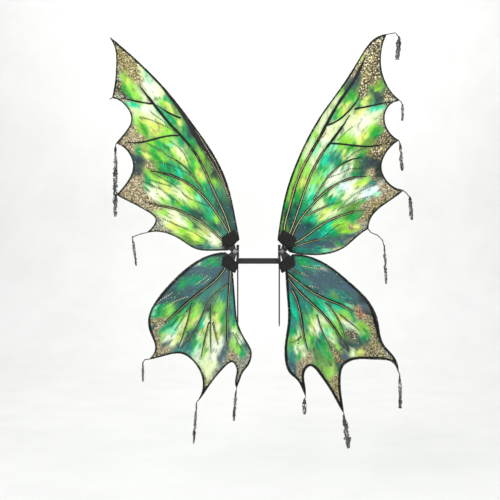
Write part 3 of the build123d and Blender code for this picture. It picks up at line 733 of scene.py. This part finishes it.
def film_material():
    """Brushed paint that runs from green to gold, black ink lines and glitter with painted glints, on a
    glossy film.
    """
    n = Nodes("painted_film")
    paint, flat, streak = n.read("paint", "Color"), n.read("flat", "Vector"), n.read("streak", "Vector")
    ink, glitter = n.read("ink"), n.read("glitter")
    brushed = n.noise(streak, 95.0, 6.0, 0.62)
    mottled = n.noise(flat, 38.0, 4.0, 0.6)
    tint = n.add("ShaderNodeHueSaturation", Color=paint)
    n.put(tint, "Hue", n.maths("ADD", n.maths("MULTIPLY", brushed, 0.10), 0.45))
    n.put(tint, "Saturation", n.maths("ADD", n.maths("MULTIPLY", mottled, 0.5), 0.94))
    n.put(tint, "Value", n.maths("ADD", n.maths("MULTIPLY", brushed, 1.7), 0.24))
    mossy = n.maths("ADD", n.maths("MULTIPLY", brushed, 0.6), n.maths("MULTIPLY", mottled, 0.4))
    moss = n.maths("MULTIPLY", n.ramp(mossy, 0.47, 0.36), 0.62)
    colour = n.mix(moss, tint.outputs[0], linear((0.10, 0.36, 0.22)))
    speck = n.add("ShaderNodeSeparateColor", Color=n.cells(flat, 300.0))
    speck_value = speck.outputs[0]
    dark_grain = n.mix(0.72, paint, linear((0.10, 0.08, 0.05)))
    # The near-white grains are painted glints on the glitter flakes.
    bright_grain = n.mix(0.6, paint, linear((0.98, 0.94, 0.76)))
    dark_speck = n.mix(n.ramp(speck_value, 0.34, 0.4), dark_grain, paint)
    bright_speck = n.mix(n.ramp(speck_value, 0.76, 0.8), dark_speck, bright_grain)
    colour = n.mix(glitter, colour, bright_speck)
    # Sparse pale specks: stray glitter flakes shown as painted glints.
    stray_glints = n.maths("MULTIPLY", n.ramp(speck.outputs[1], 0.965, 0.97), n.ramp(mottled, 0.5, 0.56))
    colour = n.mix(n.maths("MULTIPLY", stray_glints, 0.6), colour, linear((0.80, 0.86, 0.74)))
    ragged = n.maths("ADD", ink, n.maths("MULTIPLY", n.maths("SUBTRACT", n.noise(flat, 160.0), 0.5), 0.7))
    colour = n.mix(n.ramp(ragged, 0.38, 0.62), colour, linear((0.035, 0.04, 0.04)))
    n.put(n.shader, "Base Color", colour)
    n.put(n.shader, "Roughness", n.maths("ADD", n.maths("MULTIPLY", mottled, 0.25), 0.24))
    n.put(n.shader, "Metallic", n.maths("MULTIPLY", glitter, n.ramp(speck_value, 0.5, 1.0)))
    n.put(n.shader, "Specular IOR Level", 0.22)
    n.put(n.shader, "Coat Weight", 0.06)
    n.put(n.shader, "Coat Roughness", 0.2)
    wrinkle = n.maths("ADD", n.noise(streak, 30.0, 4.0), n.maths("MULTIPLY", speck_value, glitter))
    n.put(n.shader, "Normal", n.bump(wrinkle, 0.35, 0.0012))
    return n.material


def black_material(name, lump_scale, speckle):
    """Thick black paint with lumps, and specks of silver-cream on the lump tops: spread glitter with painted
    glints.
    """
    n = Nodes(name)
    place = n.add("ShaderNodeTexCoord").outputs["Object"]
    lumps = n.noise(place, lump_scale, 4.0)
    colour = n.mix(n.ramp(lumps, 0.4, 0.7), linear((0.025, 0.025, 0.025)), linear((0.12, 0.125, 0.12)))
    specks = n.add("ShaderNodeSeparateColor", Color=n.cells(place, 420.0))
    bright = n.ramp(specks.outputs[0], 1.0 - speckle, 1.0 - speckle * 0.8)
    # Painted glints: the silver-cream specks show only on the raised tops of the lumps.
    lit = n.maths("MULTIPLY", bright, n.ramp(lumps, 0.45, 0.55))
    colour = n.mix(lit, colour, linear((0.72, 0.70, 0.60)))
    n.put(n.shader, "Base Color", colour)
    n.put(n.shader, "Roughness", n.maths("ADD", n.maths("MULTIPLY", lumps, 0.3), 0.28))
    n.put(n.shader, "Specular IOR Level", 0.3)
    n.put(n.shader, "Normal", n.bump(lumps, 0.6, 0.0015))
    return n.material


def vein_material():
    """Black raised paint with a broken cream-gold line along one flank of its top: partly gold paint, partly
    a painted highlight.
    """
    n = Nodes("vein_paint")
    place = n.add("ShaderNodeTexCoord").outputs["Object"]
    crest = n.read("crest")
    broken = n.noise(place, 70.0, 5.0, 0.7)
    fine = n.noise(place, 600.0, 2.0)
    raised = n.maths("ADD", n.maths("MULTIPLY", crest, 1.15), n.maths("MULTIPLY", broken, 0.9))
    lit = n.ramp(raised, 1.06, 1.18)
    black = n.mix(fine, linear((0.025, 0.03, 0.03)), linear((0.10, 0.105, 0.09)))
    cream = n.mix(fine, linear((0.80, 0.77, 0.44)), linear((0.98, 0.95, 0.74)))
    n.put(n.shader, "Base Color", n.mix(lit, black, cream))
    n.put(n.shader, "Roughness", n.maths("ADD", n.maths("MULTIPLY", fine, 0.25), 0.3))
    n.put(n.shader, "Specular IOR Level", 0.3)
    n.put(n.shader, "Normal", n.bump(broken, 0.5, 0.001))
    return n.material


def plain_material(
    name, dark, light, scale, rough, metal=0.0, bump=0.3, depth=0.0004, stretch=1.0, specular=0.5
):
    """A surface mottled between two colours, with a grain."""
    n = Nodes(name)
    place = n.add("ShaderNodeMapping", Vector=n.add("ShaderNodeTexCoord").outputs["Object"])
    place.inputs["Scale"].default_value = (stretch, stretch, 1.0)
    grain = n.noise(place.outputs[0], scale, 5.0, 0.65)
    broad = n.noise(place.outputs[0], scale * 0.12, 2.0)
    mottled = n.maths("ADD", n.maths("MULTIPLY", grain, 0.6), n.maths("MULTIPLY", broad, 0.4))
    share = n.ramp(mottled, 0.35, 0.65)
    n.put(n.shader, "Base Color", n.mix(share, linear(dark), linear(light)))
    n.put(n.shader, "Roughness", n.maths("ADD", n.maths("MULTIPLY", grain, 0.25), rough))
    n.put(n.shader, "Metallic", metal)
    n.put(n.shader, "Specular IOR Level", specular)
    n.put(n.shader, "Normal", n.bump(grain, bump, depth))
    return n.material


def gauze_material():
    """Torn black net with greyer, worn stretches and a woven grain."""
    n = Nodes("torn_gauze")
    flat = n.read("weave", "Vector")
    worn = n.noise(flat, 22.0, 4.0, 0.65)
    threads = n.cells(flat, 700.0, "Distance")
    colour = n.mix(n.ramp(worn, 0.38, 0.58), linear((0.09, 0.09, 0.09)), linear((0.52, 0.52, 0.50)))
    colour = n.mix(n.ramp(threads, 0.45, 0.85), colour, linear((0.05, 0.05, 0.05)))
    n.put(n.shader, "Base Color", colour)
    n.put(n.shader, "Roughness", n.maths("ADD", n.maths("MULTIPLY", worn, 0.2), 0.7))
    n.put(n.shader, "Normal", n.bump(threads, 0.8, 0.0006))
    return n.material


FILM = film_material()
EDGING = black_material("edging_paint", 160.0, 0.10)
ROOT = black_material("root_paint", 110.0, 0.02)
VEIN = vein_material()
CREAM = plain_material("cream_dots", (0.70, 0.62, 0.38), (0.96, 0.92, 0.76), 500.0, 0.35)
LEATHER = plain_material(
    "worn_leather", (0.02, 0.02, 0.02), (0.11, 0.10, 0.09), 420.0, 0.5, bump=0.8, depth=0.0009, specular=0.3
)
GAUZE = gauze_material()
BLACK_STEEL = plain_material("powder_coat", (0.07, 0.07, 0.075), (0.14, 0.14, 0.145), 900.0, 0.38, bump=0.5)
STEEL = plain_material(
    "brushed_steel", (0.42, 0.42, 0.43), (0.72, 0.72, 0.73), 260.0, 0.28, metal=1.0, stretch=6.0
)
RUBBER = plain_material("soft_rubber", (0.05, 0.05, 0.05), (0.12, 0.12, 0.12), 500.0, 0.68)


# ---------- films, veins and edging ----------
def painted(wing, flat):
    """Each flat point's colour, and how much of it is glitter."""
    reach = np.hypot(flat[:, 0], flat[:, 1])
    fan = np.column_stack([np.arctan2(flat[:, 1], flat[:, 0]) * 420.0, reach / 5.0])
    strokes = 22.0 * wavy(fan, 13.0, 6.6) + 9.0 * wavy(fan, 6.0, 2.4)
    shift = np.column_stack([wavy(flat, 42.0, 3.1), wavy(flat, 42.0, 9.4)]) * 14.0
    shift += np.column_stack([wavy(flat, 12.0, 5.2), wavy(flat, 12.0, 1.3)]) * 4.0
    at = flat + shift + flat / (reach[:, None] + 1.0) * strokes[:, None]
    total = np.full(len(flat), 1e-6)
    colour = np.zeros((len(flat), 3))
    glitter = np.zeros(len(flat))
    for paint, spots in PAINT[wing].items():
        shade = np.array(linear(PAINTS[paint])[:3])
        for out, up, size in spots:
            away_out, away_up = at[:, 0] - out, at[:, 1] - up
            ray = np.array([out, up]) / math.hypot(out, up)
            along = away_out * ray[0] + away_up * ray[1]
            across = away_up * ray[0] - away_out * ray[1]
            weight = (0.25 + (along / (1.8 * size)) ** 2 + (across / (1.05 * size)) ** 2) ** -2.0
            total += weight
            colour += weight[:, None] * shade
            if paint in GLITTERY:
                glitter += weight
    colour = colour / total[:, None]
    if wing.endswith("lower"):
        colour = colour * (1 - LOWER_GREY) + np.array(linear(PAINTS["haze"])[:3]) * LOWER_GREY
    return colour, glitter / total


def edge_share(distance, half_width):
    """1 on a painted line, falling to 0 at its edge."""
    return np.clip(1.0 - (distance - half_width) / PAINT_SOFTNESS, 0, 1)


def both_faces(values):
    """The same values for the points of a slab's top and of its underside."""
    return np.concatenate([values, values])


def ends_off(points, line, least, run):
    """1 along a rib, falling to its least share at the rib's outer end."""
    tip = line[np.argmax(np.hypot(line[:, 0], line[:, 1])), :2]
    return np.clip(least + np.hypot(points[:, 0] - tip[0], points[:, 1] - tip[1]) / run, 0, 1)


def dress_wing(wing):
    """The film, its ink, ribs, veins, dots, edging and root cover."""
    spot = Spot(wing)
    body = f"{wing}_wing"
    loop = stepped(outline_of(f"{wing}_film", spot), FILM_STEP)
    film_top = spot.flat(f"{wing}_film")[:, 2].max()
    rods, ribs, veins = (wires_of(f"{wing}_{kind}", spot) for kind in ("leading_rod", "ribs", "veins"))
    edge_tree = rim_tree(loop, 1.0)
    rod_tree = tree_of(spaced(rods[0], 1.5))
    wire_trees = [tree_of(spaced(line, 1.0)) for line in ribs + veins]
    bands = RIB_BANDS[wing] + [VEIN_BAND] * len(veins)

    lanes = []
    for line, band in zip(ribs + veins, bands):
        lanes.append(lanes_of(line, (0.0, -band, band, -band - 2.5, band + 2.5)))

    def top(flat):
        gap = away(flat, edge_tree)
        for tree in wire_trees:
            gap = np.minimum(gap, away(flat, tree))
        rise = 1.0 - np.exp(-((gap / 26.0) ** 2))
        return film_top + rise * (BILLOW * (0.62 + 0.38 * wavy(flat, 60.0, 2.2)))

    points, faces = slab(loop, FILM_STEP, top, FILM_THICKNESS, np.vstack(lanes))
    flat = points[:, :2]
    half = flat[: len(flat) // 2]
    colour, glitter = painted(wing, half)
    edge_gap = away(half, edge_tree)
    rod_gap = away(half, rod_tree)
    edge_band = EDGE_BANDS[wing] * np.clip(rod_gap / 30.0, 0.5, 1) + 2.2 * wavy(half, 35.0, 4.4)
    ink = edge_share(edge_gap, edge_band)
    narrow, growth, middle, spread = LEADING_BANDS[wing]
    leading = narrow + growth * np.exp(-(((half[:, 1] - middle) / spread) ** 2))
    leading = leading + 2.0 * wavy(half, 50.0, 7.7)
    ink = np.maximum(ink, edge_share(rod_gap, leading) * 0.97)
    wash = np.zeros(len(half))
    for line, tree, band in zip(ribs + veins, wire_trees, bands):
        gap = away(half, tree)
        painted_width = band * ends_off(half, line, 0.2, 75.0) * (0.9 + 0.35 * wavy(half, 18.0, 3.3))
        ink = np.maximum(ink, edge_share(gap, painted_width) * 0.93)
        stain = band / 4.0 * np.exp(-((gap / 13.0) ** 2)) * (0.30 + 0.30 * wavy(half, 30.0, 5.9))
        wash = np.maximum(wash, stain)
    for run in DOTS.get(wing, []):
        gap = away(half, tree_of(spaced(np.array(run, float), 1.5)))
        wash = np.maximum(wash, 0.42 * np.exp(-((gap / 4.5) ** 2)))
    wash = np.maximum(wash, 0.45 * np.exp(-((edge_gap / 11.0) ** 2)))[:, None]
    colour = colour * (1 - wash) + np.array(linear(PAINTS["deep"])[:3]) * wash
    root_gap = np.hypot(half[:, 0], half[:, 1])
    ink = np.maximum(ink, np.clip(1.3 - root_gap / 72.0, 0, 1) * 0.85)
    angle = np.arctan2(half[:, 1], half[:, 0])
    streak = np.column_stack([angle * 0.32, root_gap * MM * 0.22, np.zeros(len(half))])
    film = new_piece(f"{wing}_painted_film", spot.world(points), faces, FILM, body)
    give(film, "paint", both_faces(np.column_stack([colour, np.ones(len(half))])), "FLOAT_COLOR")
    give(film, "glitter", both_faces(np.clip((glitter - 0.35) * 2.6, 0, 1)))
    give(film, "ink", both_faces(ink))
    give(film, "streak", both_faces(streak), "FLOAT_VECTOR")
    give(film, "flat", both_faces(np.column_stack([half * MM, np.zeros(len(half))])), "FLOAT_VECTOR")
    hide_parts(f"{wing}_film")

    share = CREAM_SHARE[wing]
    for kind, lines, (thick, thin) in (("ribs", ribs, RIB_RADII), ("veins", veins, VEIN_RADII)):
        parts = []
        for line in lines:
            taper = np.linspace(thick, thin, len(line))
            lumpy = taper * (1.0 + 0.16 * wavy(line, 9.0, 6.1)) * ends_off(line[:, :2], line, 0.45, 50.0)
            raised = line.copy()
            raised[:, 2] = film_top + 0.1 + 0.55 * taper
            # The crest share puts the cream line on the upper flank of each tube: partly gold paint, partly a
            # painted highlight, fainter towards the wing tips.
            p, f, crest = tube(raised, lumpy, normal_turn=0.6)
            worn = np.interp(np.hypot(p[:, 0], p[:, 1]), (200.0, 420.0, 600.0), (1.0, 0.74, 0.3))
            parts.append((p, f, crest * share * worn))
        p, f, crest = joined(parts)
        piece = new_piece(f"{wing}_painted_{kind}", spot.world(p), f, VEIN, body)
        give(piece, "crest", crest)
        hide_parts(f"{wing}_{kind}")

    for table, label, material, gap in (
        (DOTS, "dots", ROOT, DOT_GAP), (CREAM_DOTS, "cream_dots", CREAM, CREAM_DOT_GAP)
    ):
        parts = []
        for run in table.get(wing, []):
            places = spaced(np.array(run, float), gap)
            heights = top(places)
            for place, height in zip(places, heights):
                size = DOT_RADIUS + 0.4 * float(rng.uniform(-1, 1))
                parts.append(dot(place + rng.uniform(-0.5, 0.5, 2), size, height - 0.1))
        if parts:
            p, f, _ = joined(parts)
            new_piece(f"{wing}_{label}", spot.world(p), f, material, body)

    line = np.column_stack([loop, np.full(len(loop), film_top + 0.7)])
    near_rod = np.clip(1.3 - away(loop, rod_tree) / 8.0, 0, 1)
    near_rod = near_rod * (0.25 + 0.75 * np.exp(-(((loop[:, 1] - middle) / (2 * spread)) ** 2)))
    radii = EDGING_RADIUS + (LEADING_RADIUS - EDGING_RADIUS) * near_rod
    radii = radii * (1.0 + 0.22 * wavy(loop, 12.0, 8.3) + 0.10 * wavy(loop, 45.0, 2.9))
    p, f, _ = tube(line, radii, closed=True)
    edging = new_piece(f"{wing}_edging", spot.world(p), f, EDGING, body)
    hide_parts(f"{wing}_leading_rod")

    wraps = []
    for tail in tails_of(f"{wing}_edge_wire", spot, edge_tree):
        tail[:, 2] = film_top + 1.2
        tail = spaced(tail, WRAP_STEP)
        wraps.append(tube(tail, WRAP_RADIUS * (1.0 + 0.25 * wavy(tail, 7.0, 4.1)), sides=8))
    if wraps:
        p, f, _ = joined(wraps)
        new_piece(f"{wing}_tail_wraps", spot.world(p), f, ROOT, body)

    cover = stepped(outline_of(f"{wing}_root_cover", spot), COVER_STEP)
    cover_tree = rim_tree(cover, 0.5)
    base = spot.flat(f"{wing}_root_cover")[:, 2].min()

    def domed(flat):
        gap = away(flat, cover_tree)
        swell = 1.0 - np.exp(-((gap / 4.0) ** 2))
        seam = -0.45 * np.exp(-(((gap - 3.2) / 0.8) ** 2))
        pleat = np.cos(np.arctan2(flat[:, 1], flat[:, 0]) * 17.0 + 2.5 * wavy(flat, 22.0, 1.9))
        return base + PAD_EDGE + (PAD_THICKNESS - PAD_EDGE) * swell * (0.62 + 0.38 * pleat) + seam

    p, f = slab(cover, COVER_STEP, domed, PAD_EDGE)
    pad = new_piece(f"{wing}_leather_cover", spot.world(p), f, LEATHER, body)
    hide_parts(f"{wing}_root_cover")


for wing in PAINT:
    dress_wing(wing)


# ---------- streamers ----------
def tear_streamer(node, number):
    """A gathered, twisted strip of torn gauze hanging from its knot."""
    wing = "_".join(node.split("_")[:2])
    spot = Spot(wing)
    points = spot.flat(node)
    low_side, high_side = points[:, 2].min(), points[:, 2].max()
    knot = points[(points[:, 2] < low_side + 0.05) | (points[:, 2] > high_side - 0.05)].mean(0)
    level = (low_side + high_side) / 2
    end = points[np.argmin(points[:, 1])]
    long = float(np.hypot(*(end - knot)[:2]))
    down = (end - knot)[:2] / long
    across = np.array([-down[1], down[0]])
    shown = float(np.ptp((points[:, :2] - knot[:2]) @ across)) + FRAYED
    cut_width = max(shown * CUT_SHARE, LEAST_CUT)
    rows, columns = int(long / GAUZE_STEP), GAUZE_COLUMNS
    at = np.linspace(0, 1, rows + 1)
    seeds = rng.uniform(0, 50, 4)
    swing = np.array([noise.noise(Vector((t * long / 26.0, seeds[0], 0))) for t in at])
    pinch = np.array([noise.noise(Vector((t * long / 17.0, seeds[1], 0))) for t in at])
    body_width = shown * np.clip(0.35 + 2.6 * at, 0, 1) * np.clip(3.0 - 2.4 * at, 0, 1)
    body_width = np.maximum(body_width * (0.98 + 0.45 * pinch), 3.6)
    grid = []
    for i, t in enumerate(at):
        turn = 1.1 * swing[i] + 1.2 * (t - 0.5) * (0.6 if number % 2 else -0.6)
        for k in range(columns + 1):
            c = k / columns - 0.5
            edge = seeds[2] + k // (columns // 2)
            ragged = 1.0 + 0.35 * float(noise.noise(Vector((t * long / 4.0, edge, 0))))
            wide = c * body_width[i] * ragged
            fold = 0.17 * body_width[i] * math.sin(c * 15.0 + 5.0 * swing[i] + seeds[3])
            middle = 1.6 * swing[i] * math.sin(math.pi * t)
            sideways = wide * math.cos(turn) - fold * math.sin(turn) + middle
            depth = 0.45 * wide * math.sin(turn) + fold * math.cos(turn)
            place = knot[:2] + down * (t * long) + across * sideways
            grid.append((place[0], place[1], level + float(np.clip(depth, -3.2, 3.2))))
    faces = []
    for i in range(rows):
        for k in range(columns):
            margin = min(k, columns - 1 - k)
            hole = noise.noise(Vector((i * 0.34, k * 0.55, seeds[1])))
            torn = hole > (0.22 if margin < 2 else 0.36) or (margin == 0 and rng.random() < 0.3)
            if 0.06 < at[i] and torn:
                continue
            a = i * (columns + 1) + k
            faces.append((a, a + 1, a + columns + 2, a + columns + 1))
    grid = np.array(grid)
    used = sorted({i for face in faces for i in face})
    index = {old: new for new, old in enumerate(used)}
    faces = [tuple(index[i] for i in face) for face in faces]
    strip = new_piece(f"{node}_gauze", spot.world(grid[used]), faces, GAUZE, node)
    weave = np.array([
        (i % (columns + 1) / columns * cut_width, i // (columns + 1) * GAUZE_STEP, seeds[0]) for i in used
    ])
    give(strip, "weave", weave * MM, "FLOAT_VECTOR")
    thicken = strip.modifiers.new("cloth", "SOLIDIFY")
    thicken.thickness = GAUZE_THICKNESS * MM
    thicken.offset = 0.0

    turns = []
    for lift, radius, fat in ((-0.7, 2.3, 0.95), (0.0, 2.5, 1.05), (0.7, 2.2, 0.95)):
        angle = np.linspace(0, 2 * math.pi, 25)[:-1]
        ring = np.column_stack([
            knot[0] + radius * np.cos(angle),
            knot[1] + radius * np.sin(angle),
            level + lift + 0.25 * np.sin(2 * angle + lift),
        ])
        turns.append(tube(ring, np.full(len(ring), fat), sides=8, closed=True))
    p, f, _ = joined(turns)
    wound = new_piece(f"{node}_knot", spot.world(p), f, GAUZE, node)
    give(wound, "weave", p * MM, "FLOAT_VECTOR")
    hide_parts(node)


streamers = sorted(n for n in frame["nodes"] if "_streamer_" in n)
for number, node in enumerate(streamers):
    tear_streamer(node, number)

# ---------- CAD nodes that show as they are ----------
for name, piece in frame["nodes"].items():
    if piece.hide_render:
        continue
    if name.endswith("edge_wire"):
        finish = EDGING
    elif name == "prong_tips":
        finish = RUBBER
    elif name.endswith(("washers", "wing_nut", "pivot_bolt")) or name == "collar_screws":
        finish = STEEL
    else:
        finish = BLACK_STEEL
    piece.data.materials.clear()
    piece.data.materials.append(finish)

# ---------- floor, light and camera, in metres ----------
FLOOR_DROP = 0.22
FLOOR_REACH = 9.0
BEND_START = 3.2
BEND_RADIUS = 1.4
BACKDROP_HEIGHT = 7.0
CAMERA_DISTANCE = 3.6
CAMERA_HEIGHT = 0.046
AIM_OUT = -0.0357

floor_level = before[0].z - FLOOR_DROP
profile = [(-FLOOR_REACH, floor_level), (BEND_START, floor_level)]
for bend in np.linspace(0.1, math.pi / 2, 12):
    rise = BEND_RADIUS - BEND_RADIUS * math.cos(bend)
    profile.append((BEND_START + BEND_RADIUS * math.sin(bend), floor_level + rise))
profile.append((BEND_START + BEND_RADIUS, floor_level + BACKDROP_HEIGHT))
points = [(x, y, z) for y, z in profile for x in (-FLOOR_REACH, FLOOR_REACH)]
faces = [(2 * i, 2 * i + 1, 2 * i + 3, 2 * i + 2) for i in range(len(profile) - 1)]
mesh = bpy.data.meshes.new("studio_floor")
mesh.from_pydata(points, [], faces)
mesh.polygons.foreach_set("use_smooth", [True] * len(faces))
floor = bpy.data.objects.new("studio_floor", mesh)
bpy.context.scene.collection.objects.link(floor)
mesh.materials.append(
    plain_material("pale_floor", (0.91, 0.91, 0.90), (0.94, 0.94, 0.93), 3.0, 0.75, bump=0.02)
)


def area_light(name, place, aim, size, power):
    """A square light that shines from its place towards its aim."""
    light = bpy.data.lights.new(name, "AREA")
    light.shape = "SQUARE"
    light.size = size
    light.energy = power
    lamp = bpy.data.objects.new(name, light)
    lamp.location = place
    lamp.rotation_euler = (Vector(aim) - Vector(place)).to_track_quat("-Z", "Y").to_euler()
    bpy.context.scene.collection.objects.link(lamp)


area_light("key_light", (-2.2, -3.4, 2.6), (0, 0, 0.1), 2.4, 84)
area_light("fill_light", (2.8, -3.0, 1.2), (0, 0, 0), 2.4, 53)
area_light("back_light", (0, 1.8, 3.6), (0, 4.4, 0.2), 3.0, 92)
world = bpy.data.worlds.new("studio")
bpy.context.scene.world = world
world.use_nodes = True
world.node_tree.nodes["Background"].inputs["Color"].default_value = (0.95, 0.97, 1.0, 1.0)
world.node_tree.nodes["Background"].inputs["Strength"].default_value = 0.64
bpy.context.scene.view_settings.view_transform = "Standard"

lens = bpy.data.cameras.new("camera")
lens.sensor_width = 36.0
lens.lens = 61.7
camera = bpy.data.objects.new("camera", lens)
camera.location = (0.0, -CAMERA_DISTANCE, CAMERA_HEIGHT)
aim = Vector((AIM_OUT, 0, CAMERA_HEIGHT))
camera.rotation_euler = (aim - camera.location).to_track_quat("-Z", "Y").to_euler()
bpy.context.scene.collection.objects.link(camera)
bpy.context.scene.camera = camera
